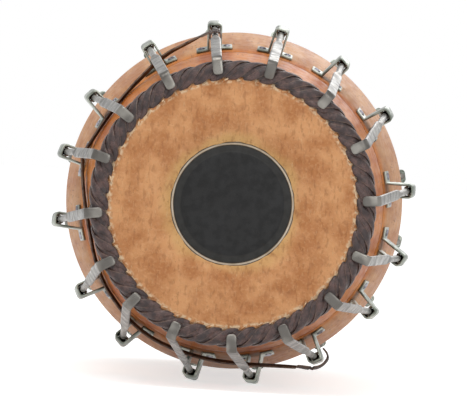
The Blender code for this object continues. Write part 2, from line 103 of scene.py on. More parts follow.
RIGHT = Head("right", 0.0, 0.0933, 0.165, 0.1500, 0.1347, 0.1107)
LEFT_SLOPE = 0.150
BULGE_RADIUS = RIGHT.shell_radius(BULGE_START) + RIGHT.slope * (BULGE_DEPTH - BULGE_START) / 2
LEFT_CONE_END = BULGE_RADIUS - LEFT_SLOPE * (BULGE_END - BULGE_DEPTH) / 2
LEFT_RIM_RADIUS = LEFT_CONE_END - LEFT_SLOPE * (FACE_TO_FACE - BULGE_END)
LEFT = Head("left", math.pi, LEFT_RIM_RADIUS, LEFT_SLOPE, 0.1125, 0.1355, 0.1190)
RIGHT_FIRST_ANGLE = -9.59
LEFT_FIRST_ANGLE = -11.25


def polar(radius: float, angle: float, depth: float) -> Vector:
    """A point in a head's frame, from its radius, its angle in degrees and its depth."""
    turn = math.radians(angle)
    return Vector((radius * math.sin(turn), depth, radius * math.cos(turn)))


def directions(angle: float) -> tuple[Vector, Vector]:
    """The directions out from the axis and clockwise round it, at an angle in degrees."""
    turn = math.radians(angle)
    return Vector((math.sin(turn), 0, math.cos(turn))), Vector((math.cos(turn), 0, -math.sin(turn)))


def arc(middle: tuple[float, float], radius: float, first: float, last: float, steps: int) -> Section:
    """Points on an arc in a plane.

    Args:
        middle: The arc's centre, across and up.
        radius: The arc's radius.
        first: The first angle in degrees, 0 pointing up.
        last: The last angle.
        steps: How many spans the arc has.

    Returns:
        The points, across and up.
    """
    turns = [math.radians(first + (last - first) * i / steps) for i in range(steps + 1)]
    return [(middle[0] + radius * math.sin(turn), middle[1] + radius * math.cos(turn)) for turn in turns]


def smooth_route(route: Sequence[Vector], steps: int) -> list[Vector]:
    """Points on a Catmull-Rom curve through a route's own points, so many steps to each span."""
    ends = [route[0] * 2 - route[1], *route, route[-1] * 2 - route[-2]]
    points = []
    for k in range(len(route) - 1):
        a, b, c, d = ends[k : k + 4]
        for i in range(steps):
            t = i / steps
            bend = (2 * a - 5 * b + 4 * c - d) * t**2 + (3 * b - a - 3 * c + d) * t**3
            points.append(0.5 * (2 * b + (c - a) * t + bend))
    return points + [route[-1]]


def fold_arc(head: Head, offset: float, steps: int = 8, first: float = 0.0) -> Section:
    """The rim's rounded edge at a distance out from the shell.

    Args:
        head: The head whose rim it is.
        offset: The distance out from the shell.
        steps: How many spans the edge has.
        first: Where the edge starts, in degrees from the flat of the head.

    Returns:
        Points (radius, depth) from the flat of the head to the cone.
    """
    tilt = math.atan(head.slope)
    middle_depth = RIM_DEPTH + RIM_ROUNDING
    edge_depth = middle_depth - RIM_ROUNDING * math.sin(tilt)
    middle_radius = head.shell_radius(edge_depth) - RIM_ROUNDING * math.cos(tilt)
    points = arc((middle_radius, 0), RIM_ROUNDING + offset, first, 90 - math.degrees(tilt), steps)
    return [(radius, middle_depth - up) for radius, up in points]


# Node tools


def linear(shade: int) -> float:
    """One channel of a screen colour, 0 to 255, as linear light."""
    value = shade / 255
    return value / 12.92 if value <= 0.04045 else ((value + 0.055) / 1.055) ** 2.4


def srgb(red: int, green: int, blue: int) -> tuple[float, float, float, float]:
    """A screen colour as the shader's linear colour."""
    return linear(red), linear(green), linear(blue), 1.0


class Painter:
    """Adds nodes to one node tree and joins them."""

    def __init__(self, tree: bpy.types.NodeTree) -> None:
        """Takes the tree that the nodes go into."""
        self.tree = tree

    def feed(self, socket: Socket, value: object) -> None:
        """Links a socket to another, or sets its plain value."""
        if isinstance(value, Socket):
            self.tree.links.new(value, socket)
        else:
            socket.default_value = value

    def node(self, kind: str, settings: dict[str, object] | None = None, **inputs: object) -> bpy.types.Node:
        """Adds one node.

        Args:
            kind: The node's Blender type.
            settings: The node's own properties.
            **inputs: Values or sockets, by input name with underscores for spaces.

        Returns:
            The new node.
        """
        made = self.tree.nodes.new(kind)
        for name, value in (settings or {}).items():
            setattr(made, name, value)
        for name, value in inputs.items():
            self.feed(made.inputs[name.replace("_", " ")], value)
        return made

    def mix(self, factor: object, first: object, second: object, mode: str = "MIX") -> Socket:
        """Mixes two colours by a factor and returns the result's socket."""
        made = self.node("ShaderNodeMix", {"data_type": "RGBA", "blend_type": mode})
        for socket, value in zip((made.inputs[0], made.inputs[6], made.inputs[7]), (factor, first, second)):
            self.feed(socket, value)
        return made.outputs[2]

    def calc(self, operation: str, first: object, second: object = 0.0) -> Socket:
        """A Math node's result."""
        made = self.node("ShaderNodeMath", {"operation": operation})
        self.feed(made.inputs[0], first)
        self.feed(made.inputs[1], second)
        return made.outputs[0]

    def ramp(
        self, value: object, low: float, high: float, start: float = 0.0, end: float = 1.0
    ) -> Socket:
        """A value carried smoothly from one range to another, and held at its ends."""
        made = self.node("ShaderNodeMapRange", {"interpolation_type": "SMOOTHSTEP"}, Value=value)
        for name, setting in (("From Min", low), ("From Max", high), ("To Min", start), ("To Max", end)):
            self.feed(made.inputs[name], setting)
        return made.outputs[0]

    def tint(self, color: object, mask: object, share: float, over: Shade) -> Socket:
        """Lays a colour over another where a mask shows, at a share of its strength."""
        return self.mix(self.calc("MULTIPLY", mask, share), color, srgb(*over))

    def group(self, group: bpy.types.NodeTree, **inputs: object) -> Socket:
        """Places a node group and returns its first output."""
        made = self.node("ShaderNodeGroup", {"node_tree": group})
        for name, value in inputs.items():
            self.feed(made.inputs[name.replace("_", " ")], value)
        return made.outputs[0]


def group_tree(
    name: str, floats: dict[str, float], output: str
) -> tuple[bpy.types.NodeTree, bpy.types.Node, Painter]:
    """Starts a node group with a vector and some numbers as inputs and one number as its output."""
    tree = bpy.data.node_groups.new(name, "ShaderNodeTree")
    tree.interface.new_socket("Vector", in_out="INPUT", socket_type="NodeSocketVector")
    for label, value in floats.items():
        socket = tree.interface.new_socket(label, in_out="INPUT", socket_type="NodeSocketFloat")
        socket.default_value = value
    tree.interface.new_socket(output, in_out="OUTPUT", socket_type="NodeSocketFloat")
    return tree, tree.nodes.new("NodeGroupInput"), Painter(tree)


def mottle_group() -> bpy.types.NodeTree:
    """A soft cloudy mask, from a noise between two levels."""
    found = bpy.data.node_groups.get("mottle")
    if found:
        return found
    floats = {"Scale": 50.0, "Detail": 4.0, "Low": 0.4, "High": 0.6}
    tree, inputs, paint = group_tree("mottle", floats, "Mask")
    noise = paint.node(
        "ShaderNodeTexNoise", Vector=inputs.outputs["Vector"], Scale=inputs.outputs["Scale"],
        Detail=inputs.outputs["Detail"],
    )
    mask = paint.ramp(noise.outputs["Fac"], inputs.outputs["Low"], inputs.outputs["High"])
    paint.node("NodeGroupOutput", Mask=mask)
    return tree


def fleck_group() -> bpy.types.NodeTree:
    """Small round flecks, from a cell pattern's distance."""
    found = bpy.data.node_groups.get("flecks")
    if found:
        return found
    tree, inputs, paint = group_tree("flecks", {"Scale": 400.0, "Size": 0.25}, "Mask")
    cells = paint.node("ShaderNodeTexVoronoi", Vector=inputs.outputs["Vector"], Scale=inputs.outputs["Scale"])
    mask = paint.ramp(cells.outputs["Distance"], inputs.outputs["Size"], 0.0)
    paint.node("NodeGroupOutput", Mask=mask)
    return tree


@dataclass(frozen=True)
class Mottle:
    """A cloudy mask from a noise: its scale and detail, the levels it runs between, and its stretch."""

    scale: float
    detail: float
    low: float
    high: float
    stretch: tuple[float, float, float] | None = None

    def mask(self, brush: Painter, at: Socket) -> Socket:
        """The mask at some coordinates."""
        if self.stretch:
            at = brush.node("ShaderNodeMapping", Vector=at, Scale=self.stretch).outputs[0]
        levels = {"Low": self.low, "High": self.high}
        return brush.group(mottle_group(), Vector=at, Scale=self.scale, Detail=self.detail, **levels)


@dataclass(frozen=True)
class Finish:
    """A Principled finish whose colour and relief vary over the surface."""

    name: str
    slot: Slot
    roughness: float
    metallic: float = 0.0
    specular: float = 0.5
    relief: float = 0.0002
    patches: Mottle = Mottle(160.0, 5.0, 0.3, 0.7)
    spread: float = 0.08

    def paint(self, brush: Painter, at: Socket) -> tuple[object, object]:
        """The colour and the relief's height; each finish gives its own."""
        raise NotImplementedError

    def material(self) -> bpy.types.Material:
        """The material, made once for each name."""
        found = bpy.data.materials.get(self.name)
        if found:
            return found
        made = bpy.data.materials.new(self.name)
        made.use_nodes = True
        brush = Painter(made.node_tree)
        shader = made.node_tree.nodes["Principled BSDF"]
        shader.inputs["Metallic"].default_value = self.metallic
        shader.inputs["Specular IOR Level"].default_value = self.specular
        place = brush.node("ShaderNodeTexCoord")
        centred = brush.node(
            "ShaderNodeMapping", Vector=place.outputs["Object"], Location=(0, FACE_TO_FACE / 2, -AXIS_HEIGHT)
        )
        at = centred.outputs[0]
        color, height = self.paint(brush, at)
        brush.feed(shader.inputs["Base Color"], color)
        low, high = self.roughness - self.spread, self.roughness + self.spread
        brush.feed(shader.inputs["Roughness"], brush.ramp(self.patches.mask(brush, at), 0, 1, low, high))
        bump = brush.node("ShaderNodeBump", Height=height, Distance=self.relief, Strength=0.8)
        brush.feed(shader.inputs["Normal"], bump.outputs[0])
        return made


def radius_of(brush: Painter, at: Socket) -> Socket:
    """The distance from the drum's axis, in metres."""
    flat = brush.node("ShaderNodeVectorMath", {"operation": "MULTIPLY"})
    brush.feed(flat.inputs[0], at)
    flat.inputs[1].default_value = (1, 0, 1)
    length = brush.node("ShaderNodeVectorMath", {"operation": "LENGTH"})
    brush.feed(length.inputs[0], flat.outputs[0])
    return length.outputs["Value"]


@dataclass(frozen=True)
class SuedeSkin(Finish):
    """Raw cowhide, brown and napped, with freckles, pale fibres and a yellowish halo round the patch."""

    halo_radius: float = 0.058
    halo_wander: float = 0.010
    braid_radius: float = 0.0925
    clouds: Mottle = Mottle(44.0, 9.0, 0.36, 0.64)
    fine: Mottle = Mottle(420.0, 6.0, 0.45, 0.70)
    wobble: Mottle = Mottle(30.0, 4.0, 0.20, 0.80)
    blotches: Mottle = Mottle(120.0, 6.0, 0.56, 0.72)
    nap: Mottle = Mottle(340.0, 4.0, 0.52, 0.66, (1.0, 1.0, 0.45))
    fibres: Mottle = Mottle(900.0, 2.0, 0.62, 0.75, (1.0, 1.0, 0.16))
    rough_edge: Mottle = Mottle(300.0, 4.0, 0.44, 0.60)

    def paint(self, brush: Painter, at: Socket) -> tuple[object, object]:
        """Brown hide with clouds, freckles, fibres and halo."""
        color = brush.mix(self.clouds.mask(brush, at), srgb(180, 118, 70), srgb(212, 154, 104))
        fine = self.fine.mask(brush, at)
        color = brush.tint(color, fine, 0.30, (221, 172, 124))
        radius = radius_of(brush, at)
        wander = brush.calc("MULTIPLY", self.wobble.mask(brush, at), self.halo_wander)
        reach = brush.calc("ADD", radius, wander)
        halo = brush.ramp(reach, self.halo_radius + 0.003, self.halo_radius - 0.008, 0.0, 0.7)
        color = brush.mix(halo, color, srgb(212, 170, 108))
        color = brush.tint(color, self.blotches.mask(brush, at), 0.35, (150, 92, 50))
        color = brush.tint(color, self.nap.mask(brush, at), 0.38, (142, 86, 46))
        freckles = brush.group(fleck_group(), Vector=at, Scale=330.0, Size=0.17)
        color = brush.tint(color, freckles, 0.5, (105, 62, 34))
        fibres = self.fibres.mask(brush, at)
        color = brush.tint(color, fibres, 0.35, (232, 196, 150))
        at_braid = brush.ramp(radius, self.braid_radius - 0.0030, self.braid_radius - 0.0005, 0.0, 0.85)
        edge = brush.calc("MULTIPLY", at_braid, self.rough_edge.mask(brush, at))
        return brush.mix(edge, color, srgb(232, 206, 170)), brush.calc("ADD", fine, fibres)


@dataclass(frozen=True)
class PaleSkin(Finish):
    """The pale full skin, with a thin painted shadow line where it meets the patch and another where the
    outer ring's cut edge stands over it.
    """

    patch_shadow_radius: float = 0.0442
    ring_shadow_radius: float = 0.0462
    clouds: Mottle = Mottle(90.0, 6.0, 0.35, 0.65)

    def paint(self, brush: Painter, at: Socket) -> tuple[object, object]:
        """Pale hide with two thin dark lines of painted shadow."""
        clouds = self.clouds.mask(brush, at)
        color = brush.mix(clouds, srgb(190, 172, 148), srgb(214, 201, 182))
        radius = radius_of(brush, at)
        # Painted shadow: a thin dark line round the patch's edge and round the outer ring's hole, where their
        # edges stand over the membrane.
        for line in (self.patch_shadow_radius, self.ring_shadow_radius):
            near = brush.calc("ABSOLUTE", brush.calc("SUBTRACT", radius, line))
            color = brush.mix(brush.ramp(near, 0.0006, 0.0001), color, srgb(72, 57, 38))
        return color, clouds


@dataclass(frozen=True)
class PatchPaste(Finish):
    """Rubbed black tuning paste, greyer round its rim, with a fine grain."""

    rim_radius: float = 0.0388
    rim_blend: float = 0.0006
    clouds: Mottle = Mottle(45.0, 8.0, 0.35, 0.70)
    grain: Mottle = Mottle(1500.0, 4.0, 0.30, 0.70)

    def paint(self, brush: Painter, at: Socket) -> tuple[object, object]:
        """Near-black paste with a paler rim and fine specks."""
        color = brush.mix(self.clouds.mask(brush, at), srgb(9, 9, 9), srgb(19, 19, 20))
        first, last = self.rim_radius - self.rim_blend, self.rim_radius + self.rim_blend
        rim = brush.ramp(radius_of(brush, at), first, last, 0.0, 0.85)
        color = brush.mix(rim, color, srgb(34, 33, 31))
        specks = brush.group(fleck_group(), Vector=at, Scale=1300.0, Size=0.3)
        return brush.tint(color, specks, 0.35, (52, 51, 48)), self.grain.mask(brush, at)


@dataclass(frozen=True)
class WaxedLeather(Finish):
    """Dark waxed leather, worn in cloudy patches and raw and paler along its cut edges."""

    dark: Shade = (48, 33, 32)
    worn: Shade = (96, 71, 66)
    clouds: Mottle = Mottle(170.0, 6.0, 0.36, 0.66)
    creases: Mottle = Mottle(900.0, 6.0, 0.40, 0.62)
    broken: Mottle = Mottle(200.0, 5.0, 0.36, 0.55)

    def paint(self, brush: Painter, at: Socket) -> tuple[object, object]:
        """Dark leather with worn clouds, creases and raw edges."""
        color = brush.mix(self.clouds.mask(brush, at), srgb(*self.dark), srgb(*self.worn))
        creases = self.creases.mask(brush, at)
        color = brush.tint(color, creases, 0.5, (38, 27, 28))
        edge = brush.node("ShaderNodeAttribute", {"attribute_name": "edge"}).outputs["Fac"]
        raw = brush.calc("MULTIPLY", brush.ramp(edge, 0.80, 1.0), self.broken.mask(brush, at))
        return brush.tint(color, raw, 0.5, (150, 124, 104)), creases


@dataclass(frozen=True)
class DrawnSteel(Finish):
    """Rolled or drawn steel with long streaks, dull patches and a few rust specks."""

    bright: Shade = (134, 131, 125)
    dull: Shade = (98, 95, 91)
    rust: float = 0.15
    streaks: Mottle = Mottle(260.0, 2.0, 0.25, 0.75, (1.0, 0.10, 1.0))
    bands: Mottle = Mottle(75.0, 1.0, 0.38, 0.62)
    stain: Mottle = Mottle(140.0, 7.0, 0.62, 0.74)

    def paint(self, brush: Painter, at: Socket) -> tuple[object, object]:
        """Bright steel with dull streaks and brown specks."""
        streaks = self.streaks.mask(brush, at)
        color = brush.mix(self.bands.mask(brush, at), srgb(*self.dull), srgb(*self.bright))
        color = brush.tint(color, streaks, 0.2, self.dull)
        return brush.tint(color, self.stain.mask(brush, at), self.rust, (98, 76, 58)), streaks


@dataclass(frozen=True)
class TurnedWood(Finish):
    """Varnished orange-brown wood, painted paler past the groove as a reflection of the bright surroundings,
    with grain along the drum and turning marks.
    """

    groove_depth: float = 0.1385
    grain: Mottle = Mottle(70.0, 9.0, 0.34, 0.66, (1.0, 0.07, 1.0))
    pores: Mottle = Mottle(600.0, 3.0, 0.60, 0.72, (1.0, 0.03, 1.0))

    def paint(self, brush: Painter, at: Socket) -> tuple[object, object]:
        """Orange-brown wood with a painted reflection past the groove, grain, pores and turning marks."""
        grain = self.grain.mask(brush, at)
        front = brush.mix(grain, srgb(190, 100, 32), srgb(218, 134, 54))
        # The paler colour laid past the groove is a painted reflection: the bright surroundings seen on the
        # varnish at a grazing angle.
        back = brush.mix(grain, srgb(188, 124, 76), srgb(212, 156, 106))
        depth = brush.node("ShaderNodeSeparateXYZ", Vector=at).outputs["Y"]
        past = brush.ramp(depth, self.groove_depth - 0.001, self.groove_depth + 0.03)
        pores = self.pores.mask(brush, at)
        color = brush.tint(brush.mix(past, front, back), pores, 0.45, (112, 62, 34))
        rings = {"bands_direction": "Y"}
        wave = brush.node("ShaderNodeTexWave", rings, Vector=at, Scale=260.0, Distortion=1.2, Detail=2.0)
        from_groove = brush.calc("ABSOLUTE", brush.calc("SUBTRACT", depth, self.groove_depth))
        color = brush.mix(brush.ramp(from_groove, 0.0010, 0.0003), color, srgb(88, 50, 30))
        return color, brush.calc("ADD", pores, brush.calc("MULTIPLY", wave.outputs["Fac"], 0.25))


HIDE = SuedeSkin("napped_hide", Slot.OUTER_SKIN, 0.82, relief=0.00025)
LEFT_HIDE = SuedeSkin("napped_hide_left", Slot.OUTER_SKIN, 0.82, relief=0.00025, halo_radius=0.030)
MEMBRANE = PaleSkin("pale_membrane", Slot.PALE_SKIN, 0.7, relief=0.0001)
LEFT_MEMBRANE = PaleSkin(
    "pale_membrane_left", Slot.PALE_SKIN, 0.7, relief=0.0001, patch_shadow_radius=-0.01, ring_shadow_radius=0.0618
)
PASTE = PatchPaste("rubbed_paste", Slot.PASTE, 0.62, specular=0.35, relief=0.00008)
BRAID = WaxedLeather("waxed_braid", Slot.LEATHER, 0.42, relief=0.00018)
THONG = WaxedLeather(
    "waxed_thong", Slot.LEATHER, 0.55, relief=0.00015, dark=(52, 36, 30), worn=(92, 70, 56)
)
HOOK_STEEL = DrawnSteel("bright_steel", Slot.HOOK, 0.35, metallic=1.0, relief=0.00004)
BRACKET_STEEL = DrawnSteel(
    "dark_steel", Slot.BRACKET, 0.36, metallic=1.0, relief=0.00005,
    bright=(168, 172, 162), dull=(104, 110, 101), rust=0.3,
)
PLATE_STEEL = DrawnSteel(
    "plate_steel", Slot.BRACKET, 0.34, metallic=1.0, relief=0.00005,
    bright=(178, 174, 182), dull=(120, 116, 122),
)
WOOD = TurnedWood("varnished_wood", Slot.WOOD, 0.50, specular=0.18, relief=0.00012)


# Mesh tools


def piece(
    name: str,
    bm: bmesh.types.BMesh,
    finish: Finish,
    place: Matrix,
    body: str = ROOT,
    stands_for: str | None = None,
    sharp: float = 38.0,
) -> bpy.types.Object:
    """Finishes a bmesh as a piece of the drum.

    Args:
        name: The piece's name.
        bm: Its mesh, which is freed.
        finish: Its finish.
        place: Carries the mesh into the world.
        body: The body that it moves with.
        stands_for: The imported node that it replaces, if any.
        sharp: The angle in degrees past which an edge is sharp.

    Returns:
        The new object, at the origin with its place in its mesh.
    """
    bmesh.ops.recalc_face_normals(bm, faces=bm.faces)
    bm.transform(place)
    mesh = bpy.data.meshes.new(name)
    bm.to_mesh(mesh)
    bm.free()
    mesh.shade_smooth()
    mesh.set_sharp_from_angle(angle=math.radians(sharp))
    mesh.materials.append(finish.material())
    made = bpy.data.objects.new(name, mesh)
    bpy.context.scene.collection.objects.link(made)
    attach(made, body)
    if stands_for:
        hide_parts(stands_for)
    return made


def turned(
    profile: Section, segments: int, wobble: Callable[[float, float], float] | None = None
) -> bmesh.types.BMesh:
    """Turns a profile about Y.

    Args:
        profile: Points (radius, depth), a closed ring or a run from axis to axis.
        segments: How many segments the turn has.
        wobble: Gives each point's extra radius from its radius and its angle in radians.

    Returns:
        The bmesh.
    """
    bm = bmesh.new()
    closed = min(profile[0][0], profile[-1][0]) > 0
    loops = []
    for radius, depth in profile:
        if radius <= 0:
            loops.append([bm.verts.new((0, depth, 0))])
            continue
        loop = []
        for i in range(segments):
            turn = 2 * math.pi * i / segments
            wide = radius + (wobble(radius, turn) if wobble else 0)
            loop.append(bm.verts.new((wide * math.sin(turn), depth, wide * math.cos(turn))))
        loops.append(loop)
    pairs = list(zip(loops, loops[1:]))
    if closed:
        pairs.append((loops[-1], loops[0]))
    for first, second in pairs:
        for i in range(segments):
            j = (i + 1) % segments
            if len(first) == 1:
                bm.faces.new((first[0], second[j], second[i]))
            elif len(second) == 1:
                bm.faces.new((first[i], first[j], second[0]))
            else:
                bm.faces.new((first[i], first[j], second[j], second[i]))
    return bm


def add_loft(bm: bmesh.types.BMesh, rings: Sequence[Sequence[Vector]], round_again: bool = False) -> None:
    """Skins a run of rings of points with quads, and caps its ends or joins them."""
    loops = [[bm.verts.new(point) for point in ring] for ring in rings]
    pairs = list(zip(loops, loops[1:]))
    if round_again:
        pairs.append((loops[-1], loops[0]))
    for first, second in pairs:
        for i in range(len(first)):
            j = (i + 1) % len(first)
            bm.faces.new((first[i], first[j], second[j], second[i]))
    if not round_again:
        bm.faces.new(loops[0])
        bm.faces.new(list(reversed(loops[-1])))


# Sub-assemblies


@dataclass
class Shell:
    """The hollow barrel of turned wood, with a turned groove in front of the right brackets."""

    segments: int = 192
    bulge_rings: int = 14
    groove_depth: float = 0.1385
    groove_half_width: float = 0.0007
    groove_sink: float = 0.0004
    bore_half_length: float = 0.05

    def cone(self, head: Head, end: float) -> Section:
        """One cone's points (radius, depth) from its rounded rim, with the groove on the right one."""
        points = fold_arc(head, 0)
        if head is RIGHT:
            for step, sink in ((-1, 0.0), (0, self.groove_sink), (1, 0.0)):
                depth = self.groove_depth + step * self.groove_half_width
                points.append((head.shell_radius(depth) - sink, depth))
        points.append((head.shell_radius(end), end))
        return points

    def profile(self) -> Section:
        """The whole section: outer line from right to left, then the bore back again."""
        points = self.cone(RIGHT, BULGE_START)
        half = BULGE_DEPTH - BULGE_START
        for i in range(1, self.bulge_rings):
            short = 1 - i / self.bulge_rings
            points.append((BULGE_RADIUS - RIGHT.slope * half / 2 * short**2, BULGE_DEPTH - half * short))
        back = BULGE_END - BULGE_DEPTH
        for i in range(self.bulge_rings):
            past = i / self.bulge_rings
            points.append((BULGE_RADIUS - LEFT.slope * back / 2 * past**2, BULGE_DEPTH + back * past))
        left = self.cone(LEFT, FACE_TO_FACE - BULGE_END)
        points += [(radius, FACE_TO_FACE - depth) for radius, depth in reversed(left)]
        back_rim = FACE_TO_FACE - RIM_DEPTH
        right_bore = RIGHT.shell_radius(RIM_DEPTH) - RIM_WALL
        left_bore = LEFT.shell_radius(RIM_DEPTH) - RIM_WALL
        middle_bore = BULGE_RADIUS - MIDDLE_WALL
        bore = [(left_bore, back_rim), (middle_bore, BULGE_DEPTH + self.bore_half_length)]
        bore += [(middle_bore, BULGE_DEPTH - self.bore_half_length), (right_bore, RIM_DEPTH)]
        return points + bore

    def build(self) -> None:
        """Makes the shell, which stands for the node it shares with the left brackets."""
        bm = turned(self.profile(), self.segments)
        piece("shell_barrel", bm, WOOD, RIGHT.place(), stands_for="shell_with_left_brackets")


@dataclass
class Skins:
    """A head's skins and, on the right head, its patch."""

    head: Head
    segments: int = 256
    gap: float = 0.0003
    ring_thickness: float = 0.0008
    membrane_thickness: float = 0.0008
    skirt_depth: float = 0.0150
    patch_radius: float = 0.0440
    patch_dome: float = 0.0015
    edge_rounding: float = 0.0003
    right_hole: float = 0.0464
    left_hole: float = 0.0620
    cut_wander: float = 0.00022
    cut_reach: float = 0.01
    band_start: float = 0.0387
    dome_steps: int = 12

    @property
    def hole(self) -> float:
        """The outer ring's hole."""
        return self.right_hole if self.head is RIGHT else self.left_hole

    def side_line(self, hole: float, offset: float) -> Section:
        """One side of a skin: flat over the head, folded over the rim and down to the skirt's edge."""
        fold = fold_arc(self.head, offset)
        radius, depth = fold[-1]
        edge = (radius + self.head.slope * (self.skirt_depth - depth), self.skirt_depth)
        middle = (fold[0][0] + hole) / 2
        return [(hole, RIM_DEPTH - offset), (middle, RIM_DEPTH - offset)] + fold + [edge]

    def ragged(self, radius: float, turn: float) -> float:
        """How far the cut edge of the hole wanders from a true circle."""
        near = max(0.0, 1 - (radius - self.hole) / self.cut_reach)
        waves = math.sin(7 * turn + 1) + math.sin(13 * turn + 2) + 0.7 * math.sin(29 * turn)
        return near * self.cut_wander * waves

    def membrane(self, offset: float) -> None:
        """The full middle skin."""
        top = self.side_line(0.0, offset + self.membrane_thickness)
        under = self.side_line(0.0, offset)
        name = f"{self.head.side}_membrane"
        finish = MEMBRANE if self.head is RIGHT else LEFT_MEMBRANE
        bm = turned(top + under[::-1], self.segments)
        piece(f"{name}_skin", bm, finish, self.head.place(), stands_for=name)

    def outer_ring(self, offset: float) -> None:
        """The outer ring of cowhide, with a rounded cut edge."""
        top = self.side_line(self.hole + self.edge_rounding, RIM_DEPTH)
        under = self.side_line(self.hole + self.edge_rounding, offset)
        edge = [(self.hole, RIM_DEPTH - offset - self.edge_rounding), (self.hole, self.edge_rounding)]
        finish = HIDE if self.head is RIGHT else LEFT_HIDE
        name = f"{self.head.side}_outer_ring"
        bm = turned(top + under[::-1] + edge, self.segments, self.ragged)
        piece(f"{name}_skin", bm, finish, self.head.place(), stands_for=name, sharp=60)

    def patch(self) -> None:
        """The black patch: a low dome with a thinner rim band."""
        under = RIM_DEPTH - 3 * self.gap - self.ring_thickness - self.membrane_thickness
        dome = self.patch_dome
        profile = [(0.0, -dome)]
        for i in range(1, self.dome_steps + 1):
            share = i / self.dome_steps
            profile.append((self.band_start * share, -dome * (1 - 0.55 * share**3)))
        profile += [(0.0393, -dome * 0.16), (0.0400, -dome * 0.12), (0.0425, -0.00005), (0.0437, 0.0002)]
        profile += [(self.patch_radius, 0.0008), (self.patch_radius, under), (0.0, under)]
        bm = turned(profile, self.segments)
        piece("patch_of_paste", bm, PASTE, self.head.place(), stands_for="tuning_paste")

    def build(self) -> None:
        """Makes the skins and the patch."""
        offset = 2 * self.gap + self.ring_thickness
        self.membrane(offset)
        self.outer_ring(offset + self.membrane_thickness + self.gap)
        if self.head is RIGHT:
            self.patch()
            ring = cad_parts["right_inner_ring"]
            ring.data.materials.clear()
            ring.data.materials.append(MEMBRANE.material())


